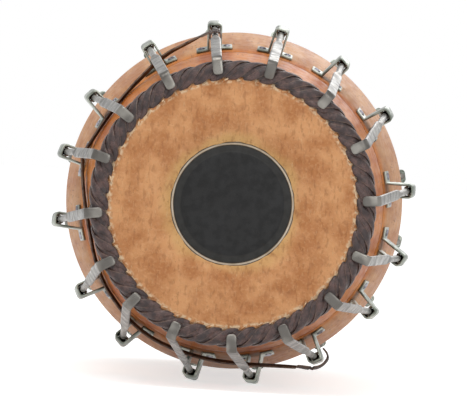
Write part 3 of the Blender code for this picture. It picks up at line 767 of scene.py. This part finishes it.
@dataclass
class Braid:
    """A head's braided ring: a core and a round of slanted, lens-shaped thongs plaited over it."""

    head: Head
    stands_for: str
    strands: int = 48
    slant: float = 19.0
    width: float = 0.0064
    crown: float = 0.0012
    steps: int = 16
    core_segments: int = 192
    core_sunk: float = 0.0009
    skirt_depth: float = 0.0150
    line_length: float = 0.034
    end_share: float = 0.07
    under_side: float = 0.0006
    across_top: Sequence[float] = (-1.0, -0.86, -0.5, 0.0, 0.5, 0.86, 1.0)
    across_under: Sequence[float] = (0.8, 0.0, -0.8)
    tab_shape: Sequence[tuple[float, float]] = ((-1, 0), (-0.5, 0.8), (0.1, 1), (0.6, 0.7), (1, 0), (0, -0.2))

    def section(self) -> tuple[list[Vector], Section]:
        """The ring's section: its top line from the inner lip outwards, and its under side back again."""
        inner_side = fold_arc(self.head, RIM_DEPTH + 0.0006, steps=4, first=21.0)
        lip = inner_side[0]
        foot = inner_side[-1][0] + self.head.slope * (self.skirt_depth - inner_side[-1][1])
        top = [
            (lip[0] - 0.0004, 0.0002),
            (lip[0] + 0.0014, -0.0010),
            (lip[0] + 0.0050, -0.0014),
            (lip[0] + 0.0095, -0.0012),
            (lip[0] + 0.0130, 0.0018),
            (lip[0] + 0.0141, 0.0065),
            (lip[0] + 0.0136, 0.0125),
            (foot + 0.0030, 0.0155),
        ]
        return [Vector(point) for point in top], [(foot, 0.0148)] + inner_side[:0:-1]

    def core(self) -> None:
        """The dark body of the ring, which shows between the thongs."""
        top, under = self.section()
        middle = Vector((sum(p.x for p in top) / len(top), 0.0065))
        line = [(p + (middle - p).normalized() * self.core_sunk) for p in smooth_route(top[1:], 4)]
        bm = turned([(p.x, p.y) for p in line] + under, self.core_segments)
        name = f"{self.head.side}_braid_core"
        piece(name, bm, BRAID, self.head.place(), stands_for=self.stands_for, sharp=70)

    def strand_rings(self, index: int) -> list[list[Vector]]:
        """The sections along one thong, from its inner end to its outer end."""
        line = smooth_route(self.section()[0], 6)
        last = len(line) - 1
        slant = self.slant + 0.8 * math.sin(index * 2.4) + 0.5 * math.sin(index * 5.1)
        start = 360 * (index + 0.5) / self.strands - self.slant / 2
        broad = 1 + 0.09 * math.sin(index * 3.7)
        rings = []
        for k in range(self.steps + 1):
            t = k / self.steps
            span = min(int(t * last), last - 1)
            spot = line[span].lerp(line[span + 1], t * last - span)
            slope = (line[span + 1] - line[span]).normalized()
            angle = start + slant * t
            radial, around = directions(angle)
            up = radial * slope.y - Vector((0, slope.x, 0))
            down_line = radial * slope.x + Vector((0, slope.y, 0))
            run = math.radians(slant) * spot.x
            along = (down_line * self.line_length + around * run).normalized()
            across = along.cross(up).normalized()
            lens = math.sin(math.pi * (self.end_share + (1 - 2 * self.end_share) * t)) ** 0.55
            half = self.width * broad / 2 * lens
            middle = polar(spot.x, angle, spot.y) - up * (0.0005 + 0.0009 * (2 * t - 1) ** 4)
            ring = []
            for s in self.across_top:
                lift = self.crown * (1 - abs(s) ** 2.6) * (0.5 + 0.5 * lens) + 0.0003 * s
                ring.append(middle + across * half * s + up * lift)
            ring += [middle + across * half * s - up * self.under_side for s in self.across_under]
            rings.append(ring)
        return rings

    def thongs(self) -> None:
        """All the thongs as one piece, each a closed body, with an attribute that is 1 along cut edges."""
        bm = bmesh.new()
        for index in range(self.strands):
            add_loft(bm, self.strand_rings(index))
        made = piece(f"{self.head.side}_braid_thongs", bm, BRAID, self.head.place(), sharp=70)
        ring = [abs(s) for s in self.across_top] + [1.0] * len(self.across_under)
        edge = made.data.attributes.new("edge", "FLOAT", "POINT")
        edge.data.foreach_set("value", ring * ((self.steps + 1) * self.strands))

    def skin_tabs(self) -> None:
        """The ragged bits of skin that the thongs' inner ends leave standing, one in each gap."""
        lip = self.section()[0][0].x
        bm = bmesh.new()
        for index in range(self.strands):
            angle = 360 * (index + 1.0) / self.strands - self.slant / 2 + 1.1 * math.sin(index * 1.9)
            long = 0.0026 + 0.0008 * math.sin(index * 3.1)
            wide = 0.0026 + 0.0009 * math.sin(index * 4.3)
            high = 0.0009 + 0.0003 * math.sin(index * 2.7)
            around = directions(angle)[1]
            rings = []
            for share in (0.02, 0.2, 0.5, 0.8, 0.98):
                lens = math.sin(math.pi * share)
                middle = polar(lip - 0.0016 + long * share, angle + 3.0 * share, 0.0001 - high * lens)
                half = wide / 2 * lens + 0.0001
                rings.append(
                    [middle + around * half * c + Vector((0, -high * 0.6 * d, 0)) for c, d in self.tab_shape]
                )
            add_loft(bm, rings)
        finish = HIDE if self.head is RIGHT else LEFT_HIDE
        piece(f"{self.head.side}_skin_tabs", bm, finish, self.head.place(), sharp=80)

    def build(self) -> None:
        """Makes the core, the thongs and the bits of skin between them."""
        self.core()
        self.thongs()
        self.skin_tabs()


class Lug:
    """Where one hook bolt, its bracket and its nut lie in the head's frame."""

    bracket_width = 0.0180
    shell_gap = 0.0005
    crown_depth = -0.0042

    def __init__(self, head: Head, angle: float, lead: float = 0.0, lean: float = 0.0) -> None:
        """Works out the rod's line and the bracket's seat.

        Args:
            head: The head that the hook bolt draws down.
            angle: The rod's angle at the bracket, in degrees.
            lead: How far the hook leads the bracket round the head, in degrees.
            lean: How far the bracket's loop leans, in degrees.
        """
        self.head = head
        depth = head.bracket_depth
        height = head.rod_radius - head.shell_radius(depth)
        base_angle = angle - math.degrees(math.asin(height * math.sin(math.radians(lean)) / head.rod_radius))
        self.corner = polar(self.rod_line_radius(self.crown_depth), angle + lead, self.crown_depth)
        at_bracket = polar(head.rod_radius, angle, depth)
        self.axis = (self.corner - at_bracket).normalized()
        base_depth = depth + self.bracket_width / 2
        self.base = polar(head.shell_radius(base_depth) + self.shell_gap, base_angle, base_depth)
        tilt = math.atan(head.slope)
        self.normal = polar(math.cos(tilt), base_angle, -math.sin(tilt))
        back = -self.axis
        self.channel = (back - self.normal * back.dot(self.normal)).normalized()
        self.across = self.channel.cross(self.normal)
        reach = (self.base - at_bracket).dot(self.channel) / back.dot(self.channel)
        self.rod_middle = at_bracket + back * reach
        offset = self.rod_middle - self.base
        self.lean = math.atan2(offset.dot(self.across), offset.dot(self.normal))
        self.rod_height = offset.length
        self.length = (self.corner - self.rod_middle).length

    def rod_line_radius(self, depth: float) -> float:
        """The radius of the rod's line at a depth."""
        slope = (self.head.rod_radius - self.head.hook_radius) / self.head.bracket_depth
        return self.head.hook_radius + slope * depth

    def rod_frame(self) -> Matrix:
        """Origin at the rod's middle in the bracket, Z along the rod to the head and X outwards."""
        radial = Vector((self.corner.x, 0, self.corner.z)).normalized()
        out = (radial - self.axis * radial.dot(self.axis)).normalized()
        axes = Matrix((out, self.axis.cross(out), self.axis)).transposed().to_4x4()
        return Matrix.Translation(self.rod_middle) @ axes

    def bracket_frame(self) -> Matrix:
        """Origin on the shell under the bracket's middle, X across, Y along the channel and Z out."""
        axes = Matrix((self.across, self.channel, self.normal)).transposed().to_4x4()
        return Matrix.Translation(self.base) @ axes

    def crown_tilt(self) -> float:
        """How far the crown, which points at the drum's axis, rises from square to the rod."""
        radial = Vector((self.corner.x, 0, self.corner.z)).normalized()
        return math.asin(-radial.dot(self.axis))


@dataclass
class HookRow:
    """A head's sixteen hook bolts, brackets, screws and nuts."""

    head: Head
    first_angle: float
    shifts: Sequence[float] = (0,) * 16
    leads: Sequence[float] = (0,) * 16
    leans: Sequence[float] = (0,) * 16
    strip_width: float = 0.0078
    strip_thickness: float = 0.0025
    rod_diameter: float = 0.0050
    rod_start: float = 0.0650
    taper: float = 0.0100
    tip_reach: float = 0.0126
    bend_radius: float = 0.0040
    rod_end: float = -0.0210
    thread_start: float = 0.0120
    pitch: float = 0.0008
    around: int = 20
    plate_thickness: float = 0.0016
    foot_span: float = 0.0280
    slot: float = 0.0080
    loop_width: float = 0.0113
    rod_gap: float = 0.0009
    outer_corner: float = 0.0032
    inner_corner: float = 0.0018
    edge_break: float = 0.00028
    screw_radius: float = 0.0029
    screw_place: float = 0.0100
    screw_flatness: float = 0.45
    screw_slot: float = 0.0005
    screw_turns: float = 40.0
    steep_lean: float = 0.2
    steep_shift: float = 0.0006
    nut_gap: float = 0.00045
    nut_thickness: float = 0.0045
    nut_half_flat: float = 0.0040
    nut_bore: float = 0.00285
    nut_points: int = 36
    nut_chamfer: float = 0.0005
    tip_shape: Sequence[tuple[float, float, float]] = (
        (0.0, 0.5, 0.6), (0.0004, 0.74, 0.86), (0.0013, 0.92, 1.0), (0.0028, 1.0, 1.0),
    )
    lugs: list[Lug] = field(init=False)

    def __post_init__(self) -> None:
        """Places the sixteen lugs."""
        self.lugs = [
            Lug(self.head, self.first_angle + 22.5 * i + self.shifts[i], self.leads[i], self.leans[i])
            for i in range(16)
        ]

    def strip(
        self, place: Vector, out: Vector, across: Vector, width: float, thick: float, power: float
    ) -> list[Vector]:
        """Points round a flat strip or a rod.

        Args:
            place: The section's middle.
            out: The direction of its thickness.
            across: The direction of its width.
            width: Its width.
            thick: Its thickness.
            power: 2 for a round section, and more for a squarer one.

        Returns:
            The ring of points.
        """
        ring = []
        for i in range(self.around):
            turn = 2 * math.pi * (i + 0.5) / self.around
            c, s = math.cos(turn), math.sin(turn)
            x = math.copysign(abs(c) ** (2 / power), c) * thick / 2
            y = math.copysign(abs(s) ** (2 / power), s) * width / 2
            ring.append(place + out * x + across * y)
        return ring

    def bolt_rings(self, lug: Lug) -> list[list[Vector]]:
        """The sections along a hook bolt in its rod's frame: tip, crown, bend, strip, rod and thread."""
        across = Vector((0, 1, 0))
        tilt = lug.crown_tilt()
        inward = Vector((-math.cos(tilt), 0, math.sin(tilt)))
        crown_out = Vector((math.sin(tilt), 0, math.cos(tilt)))
        corner = Vector((0, 0, lug.length))
        tip = corner + inward * self.tip_reach
        rings = []
        for back, wide, thick in self.tip_shape:
            place = tip - inward * back
            wide, thick = self.strip_width * wide, self.strip_thickness * thick
            rings.append(self.strip(place, crown_out, across, wide, thick, 5))
        half_turn = (math.pi / 2 - tilt) / 2
        reach = self.bend_radius * math.tan(half_turn)
        centre = corner + inward * reach - crown_out * self.bend_radius
        for i in range(10):
            turn = 2 * half_turn * i / 9
            out = crown_out * math.cos(turn) - inward * math.sin(turn)
            place = centre + out * self.bend_radius
            rings.append(self.strip(place, out, across, self.strip_width, self.strip_thickness, 5))
        out = Vector((1, 0, 0))
        for i in range(7):
            t = i / 6
            ease = t * t * (3 - 2 * t)
            width = self.strip_width + (self.rod_diameter - self.strip_width) * ease
            thick = self.strip_thickness + (self.rod_diameter - self.strip_thickness) * ease
            place = Vector((0, 0, self.rod_start - self.taper * t))
            rings.append(self.strip(place, out, across, width, thick, 5 - 3 * ease))

        def round_at(height: float, size: float) -> list[Vector]:
            """A round section of the rod."""
            return self.strip(Vector((0, 0, height)), out, across, size, size, 2)

        rod = self.rod_diameter
        rings.append(round_at(self.thread_start, rod))
        for i in range(2 * round((self.thread_start - self.rod_end) / self.pitch)):
            size = rod - (0.0007 if i % 2 == 0 else 0.0)
            rings.append(round_at(self.thread_start - (i + 1) * self.pitch / 2, size))
        return rings + [round_at(self.rod_end - 0.0004, rod - 0.0014)]

    def outline(self, lug: Lug) -> Section:
        """The bracket's section in its own frame: two feet and a loop round the rod that may lean."""
        half_loop, half_slot, foot = self.loop_width / 2, self.slot / 2, self.foot_span / 2
        inner_end = lug.rod_height + self.rod_diameter / 2 + self.rod_gap
        outer_end = inner_end + self.plate_thickness
        bend = 2 * lug.head.shell_radius(lug.head.bracket_depth)
        side, up = math.sin(lug.lean), math.cos(lug.lean)

        def on_plate(across: float, thick: float) -> tuple[float, float]:
            """A point over the shell's round."""
            return across, thick - across**2 / bend

        def in_loop(across: float, along: float) -> tuple[float, float]:
            """A point of the leaning loop."""
            return across * up + along * side, along * up - across * side

        def leg_foot(across: float, thick: float) -> tuple[float, float]:
            """Where a leg's side meets the plate."""
            return on_plate(in_loop(across, (thick + across * side) / up)[0], thick)

        def corners(half: float, end: float, radius: float) -> Section:
            """The loop's two rounded corners, from one side to the other."""
            left = arc((radius - half, end - radius), radius, -90, 0, 6)
            return [in_loop(*p) for p in left + arc((half - radius, end - radius), radius, 0, 90, 6)]

        plate = self.plate_thickness
        points = [on_plate(-foot, 0), on_plate(-foot, plate), leg_foot(-half_loop, plate)]
        points += corners(half_loop, outer_end, self.outer_corner)
        points += [leg_foot(half_loop, plate), on_plate(foot, plate), on_plate(foot, 0)]
        points.append(leg_foot(half_slot, 0))
        return points + corners(half_slot, inner_end, self.inner_corner)[::-1] + [leg_foot(-half_slot, 0)]

    def bracket(self, lug: Lug) -> bmesh.types.BMesh:
        """A bracket in its own frame, with its edges broken."""
        bm = bmesh.new()
        start = -lug.bracket_width / 2
        face = bm.faces.new([bm.verts.new((x, start, z)) for x, z in self.outline(lug)])
        side = bmesh.ops.extrude_face_region(bm, geom=[face], use_keep_orig=True)
        moved = [item for item in side["geom"] if isinstance(item, bmesh.types.BMVert)]
        bmesh.ops.translate(bm, verts=moved, vec=(0, lug.bracket_width, 0))
        bmesh.ops.recalc_face_normals(bm, faces=bm.faces)
        ends = [edge for edge in bm.edges if edge.calc_face_angle(0) > math.radians(60)]
        bmesh.ops.bevel(bm, geom=ends, offset=self.edge_break, segments=2, affect="EDGES", profile=0.5)
        return bm

    def screw(self, lug: Lug, side: int) -> bmesh.types.BMesh:
        """A domed wood screw's head on one foot, with a slot sunk across it, in the bracket's frame."""
        bend = 2 * lug.head.shell_radius(lug.head.bracket_depth)
        steep = lug.lean > self.steep_lean and side > 0
        across = side * self.screw_place + (self.steep_shift if steep else 0)
        height = self.plate_thickness - across**2 / bend
        turn = Matrix.Rotation(lug.corner.x * self.screw_turns + side, 4, "Z")
        bpy.ops.object.select_all(action="DESELECT")
        bpy.ops.mesh.primitive_uv_sphere_add(segments=24, ring_count=12, radius=self.screw_radius)
        dome = bpy.context.object
        bpy.ops.object.mode_set(mode="EDIT")
        bpy.ops.mesh.select_all(action="SELECT")
        bpy.ops.mesh.bisect(plane_co=(0, 0, 0), plane_no=(0, 0, 1), use_fill=True, clear_inner=True)
        bpy.ops.object.mode_set(mode="OBJECT")
        bm = bmesh.new()
        bm.from_mesh(dome.data)
        bpy.data.objects.remove(dome)
        for vert in bm.verts:
            vert.co.z *= self.screw_flatness
            if abs(vert.co.y) < 0.0004 and vert.co.z > 0.0006:
                vert.co.z -= self.screw_slot
        bm.transform(Matrix.Translation((across, 0, height)) @ turn)
        return bm

    def nut_rings(self, lug: Lug) -> list[list[Vector]]:
        """A chamfered hexagon nut round a threaded bore, in the rod's frame."""
        top = -(lug.bracket_width / 2 + self.nut_gap)
        low = top - self.nut_thickness
        flat = self.nut_half_flat
        turns = [2 * math.pi * i / self.nut_points for i in range(self.nut_points)]

        def ring(height: float, limit: float, hexagon: bool = True) -> list[Vector]:
            """The hexagon at a height, cut back to a circle, or the circle alone."""
            points = []
            for turn in turns:
                beside = (turn - math.pi / 6) % (math.pi / 3) - math.pi / 6
                radius = min(flat / math.cos(beside), limit) if hexagon else limit
                points.append(Vector((radius * math.cos(turn), radius * math.sin(turn), height)))
            return points

        rings = [ring(top, flat * 0.97), ring(top - self.nut_chamfer, flat * 1.2)]
        rings += [ring(low + self.nut_chamfer, flat * 1.2), ring(low, flat * 0.97)]
        for i in range(12):
            bore = self.nut_bore - (0.0002 if i % 2 and i < 11 else 0.0)
            rings.append(ring(low + (top - low) * i / 11, bore, hexagon=False))
        return rings

    def build(self) -> None:
        """Makes the row's hook bolts, brackets, screws and nuts; the right ones ride on their own bodies."""
        place = self.head.place()
        side = self.head.side
        right = self.head is RIGHT
        for number, lug in enumerate(self.lugs, start=1):
            label = f"{number:02d}"
            rod = place @ lug.rod_frame()
            seat = place @ lug.bracket_frame()
            bodies = (f"hook_bolt_{label}", f"nut_{label}") if right else (ROOT, ROOT)
            nodes = [f"right_{kind}_{label}" if right else None for kind in ("hook_bolt", "bracket", "nut")]
            bolt = bmesh.new()
            add_loft(bolt, self.bolt_rings(lug))
            piece(f"{side}_hook_{label}", bolt, HOOK_STEEL, rod, bodies[0], nodes[0])
            piece(f"{side}_strap_bracket_{label}", self.bracket(lug), BRACKET_STEEL, seat, ROOT, nodes[1])
            for foot, word in ((-1, "a"), (1, "b")):
                piece(f"{side}_screw_{label}{word}", self.screw(lug, foot), PLATE_STEEL, seat)
            nut = bmesh.new()
            add_loft(nut, self.nut_rings(lug), round_again=True)
            piece(f"{side}_hex_nut_{label}", nut, BRACKET_STEEL, rod, bodies[1], nodes[2], sharp=25)
        LOG.info("%s row: %d hook bolts, brackets and nuts", side, len(self.lugs))


@dataclass
class TieStrap:
    """The flat thong round the first rod, behind the hook bolts and hooked over the eighth bracket."""

    lug: Lug
    width: float = 0.0055
    thickness: float = 0.0016
    steps: int = 8
    twist: float = 30.0
    lift: float = 0.0007
    wrap_depth: float = 0.1085
    wrap_advance: float = 0.0068
    wrap_radius: float = 0.0042
    route: Sequence[tuple[float, float, float, float]] = (
        (-15.0, 0.1299, 0.1125, 0),
        (-20.7, 0.1268, 0.1180, 0),
        (-26.6, 0.1250, 0.1220, 0),
        (-32.6, 0.1224, 0.1270, 0),
        (-39.0, 0.1196, 0.1330, 0),
        (-46.9, 0.1178, 0.1386, 0),
        (-56.1, 0.1167, 0.1315, 0),
        (-64.4, 0.1174, 0.1350, 0),
        (-71.0, 0.1192, 0.1400, 0),
        (-75.5, 0.1214, 0.1420, 0),
        (-80.0, 0.1196, 0.1400, 0),
        (-87.0, 0.1158, 0.1240, 0),
        (-95.9, 0.1126, 0.1060, 0),
        (-105.0, 0.1114, 0.0990, 0),
        (-115.0, 0.1138, 0.1120, 0),
        (-126.4, 0.1173, 0.1340, 0),
        (-134.0, 0.1188, 0.1400, 0),
        (-144.0, 0.1212, 0.1425, 0),
        (-152.0, 0.1220, 0.1430, 0),
        (-160.1, 0.1219, 0.1430, 0),
        (-171.9, 0.1222, 0.1430, 0),
        (-185.1, 0.1243, 0.1430, 0),
        (-196.0, 0.1290, 0.1430, 0),
        (-204.0, 0.1358, 0.1450, 0),
        (-208.5, 0.1422, 0.1500, 0),
        (-211.5, 0.1444, 0.1560, -15),
        (-214.4, 0.1424, 0.1590, -60),
        (-215.2, 0.1384, 0.1600, -90),
        (-215.0, 0.1334, 0.1600, -90),
    )

    def wrap(self) -> list[Vector]:
        """One turn round the first hook bolt's rod, from the strap's free end to where it leaves the rod."""
        points = []
        for i in range(10):
            turn = math.radians(405 * (1 - i / 9))
            depth = self.wrap_depth + self.wrap_advance * i / 9
            rod = self.lug.rod_line_radius(depth)
            aside = math.degrees(self.wrap_radius * math.sin(turn) / rod)
            radius = rod + self.wrap_radius * math.cos(turn)
            points.append(Vector((RIGHT_FIRST_ANGLE + aside, radius, depth, math.degrees(turn))))
        return points

    def turn_of(self, index: int, facing: float) -> float:
        """How far the thong is turned out of flat, in degrees: 0 where it is wrapped or hooked over."""
        if facing:
            return 0.0
        past = min(1.0, max(0.0, index / self.steps - 9) / 3)
        return self.twist * past

    def build(self) -> None:
        """Makes the thong with a crowned outer side and cut edges."""
        curve = smooth_route(self.wrap() + [Vector(point) for point in self.route], self.steps)
        middles = [polar(radius, angle, depth) for angle, radius, depth, _ in curve]
        shape = ((-1, -0.9), (-1, 0.4), (-0.8, 0.85), (0, 1), (0.8, 0.85), (1, 0.4), (1, -0.9), (0, -1))
        rings = []
        for i, middle in enumerate(middles):
            ahead = (middles[min(i + 1, len(middles) - 1)] - middles[max(i - 1, 0)]).normalized()
            angle, facing = curve[i][0], curve[i][3]
            out = polar(1, angle + facing, -RIGHT.slope * math.cos(math.radians(facing)))
            flat = Matrix.Rotation(math.radians(self.turn_of(i, facing)), 3, ahead)
            across = flat @ ahead.cross(out).normalized()
            up = across.cross(ahead)
            middle = middle + out.normalized() * (self.lift * abs(self.turn_of(i, facing)) / self.twist)
            wide, thick = across * (self.width / 2), up * (self.thickness / 2)
            rings.append([middle + wide * x + thick * y for x, y in shape])
        bm = bmesh.new()
        add_loft(bm, rings)
        made = piece("tie_thong", bm, THONG, RIGHT.place(), stands_for="tie_strap", sharp=60)
        edge = made.data.attributes.new("edge", "FLOAT", "POINT")
        edge.data.foreach_set("value", [1.0, 1.0, 0.7, 0.0, 0.7, 1.0, 1.0, 0.5] * len(rings))


@dataclass
class Studio:
    """The floor, the lights and the camera."""

    distance: float = 4.0
    lens: float = 412.3
    elevation: float = 0.52
    azimuth: float = 0.22
    roll: float = 3.49
    pixels_per_metre: float = 1337.0
    centre_right: float = -1.0
    centre_down: float = 4.0

    def floor(self) -> None:
        """A pale floor that shows white to the camera and in reflections, and keeps the drum's shadow."""
        bpy.ops.object.select_all(action="DESELECT")
        bpy.ops.mesh.primitive_plane_add(size=60, location=(0, 0, 0))
        plane = bpy.context.object
        plane.name = "studio_floor"
        made = bpy.data.materials.new("pale_floor")
        made.use_nodes = True
        brush = Painter(made.node_tree)
        shader = made.node_tree.nodes["Principled BSDF"]
        shader.inputs["Base Color"].default_value = (0.86, 0.86, 0.86, 1)
        shader.inputs["Roughness"].default_value = 0.9
        shader.inputs["Emission Color"].default_value = (1, 1, 1, 1)
        brush.feed(shader.inputs["Emission Strength"], self.seen(brush, 0.62))
        plane.data.materials.append(made)

    def seen(self, brush: Painter, strength: float) -> Socket:
        """A strength for rays that show the background: camera, glossy and transmission rays."""
        path = brush.node("ShaderNodeLightPath")
        rays = brush.calc("MAXIMUM", path.outputs["Is Camera Ray"], path.outputs["Is Glossy Ray"])
        rays = brush.calc("MAXIMUM", rays, path.outputs["Is Transmission Ray"])
        return brush.calc("MULTIPLY", rays, strength)

    def world(self) -> None:
        """White where it is seen, and a plain grey light otherwise."""
        made = bpy.data.worlds.new("studio_world")
        bpy.context.scene.world = made
        made.use_nodes = True
        brush = Painter(made.node_tree)
        back = made.node_tree.nodes["Background"]
        back.inputs["Color"].default_value = (1, 1, 1, 1)
        brush.feed(back.inputs["Strength"], brush.calc("ADD", self.seen(brush, 0.50), 0.50))

    def lamp(self, name: str, place: tuple[float, float, float], size: float, power: float) -> None:
        """An area lamp aimed at the drum's middle."""
        light = bpy.data.lights.new(name, "AREA")
        light.size = size
        light.energy = power
        lamp = bpy.data.objects.new(name, light)
        bpy.context.scene.collection.objects.link(lamp)
        lamp.location = place
        aim = Vector((0, -0.1, AXIS_HEIGHT)) - Vector(place)
        lamp.rotation_euler = aim.to_track_quat("-Z", "Y").to_euler()

    def camera(self) -> None:
        """The camera of the photograph: far off, straight on to the right head, and rolled a little."""
        turn, rise, roll = (math.radians(v) for v in (self.azimuth, self.elevation, self.roll))
        centre = Vector((0, -FACE_TO_FACE / 2, AXIS_HEIGHT))
        away = Vector((math.sin(turn) * math.cos(rise), -math.cos(turn) * math.cos(rise), math.sin(rise)))
        level = Vector((math.cos(turn), math.sin(turn), 0))
        up = away.cross(level).normalized()
        right = level * math.cos(roll) + up * math.sin(roll)
        up = away.cross(right).normalized()
        aim = centre - right * (self.centre_right / self.pixels_per_metre)
        aim += up * (self.centre_down / self.pixels_per_metre)
        data = bpy.data.cameras.new("photo_camera")
        data.lens = self.lens
        data.sensor_width = 36
        data.clip_end = 50
        camera = bpy.data.objects.new("photo_camera", data)
        bpy.context.scene.collection.objects.link(camera)
        axes = Matrix((right, up, away)).transposed().to_4x4()
        camera.matrix_world = Matrix.Translation(aim + away * self.distance) @ axes
        bpy.context.scene.camera = camera

    def build(self) -> None:
        """Sets the whole stage."""
        bpy.context.scene.view_settings.view_transform = "Standard"
        self.camera()
        self.world()
        self.floor()
        self.lamp("key_from_above", (-0.35, -1.2, 1.9), 1.2, 16.0)
        self.lamp("front_fill", (0.7, -2.2, 0.7), 1.0, 7.0)
        self.lamp("back_fill", (0.6, 1.9, 1.2), 1.2, 9.0)


RIGHT_ROW = HookRow(
    RIGHT,
    RIGHT_FIRST_ANGLE,
    shifts=(0, -0.5, -0.5, -1, 2.5, 2.5, 0, 1, 0.5, -2, 0.5, -1.5, 0.5, 0.5, -2, 0),
    leads=(0, 0, 3.5, 5.5, 2.5, 4, 5, 5.5, 6, 10.5, 6.5, 5, 2, 3, 3, 1),
    leans=(8, 3, 10, 4, 9, 24, 14, 10, 22, 8, 14, 10, 17, 6, 15, -3),
)
LEFT_ROW = HookRow(LEFT, LEFT_FIRST_ANGLE)


def main() -> None:
    """Builds the stage and the drum, piece by piece."""
    logging.basicConfig(level=logging.INFO, format="%(name)s: %(message)s")
    Studio().build()
    Shell().build()
    LOG.info("shell")
    for head in (RIGHT, LEFT):
        Skins(head).build()
        LOG.info("%s skins", head.side)
    Braid(RIGHT, "right_braid").build()
    Braid(LEFT, "left_braid_with_hook_bolts").build()
    LOG.info("braids")
    for row in (RIGHT_ROW, LEFT_ROW):
        row.build()
    TieStrap(RIGHT_ROW.lugs[0]).build()
    LOG.info("tie strap")


if __name__ == "__main__":
    main()
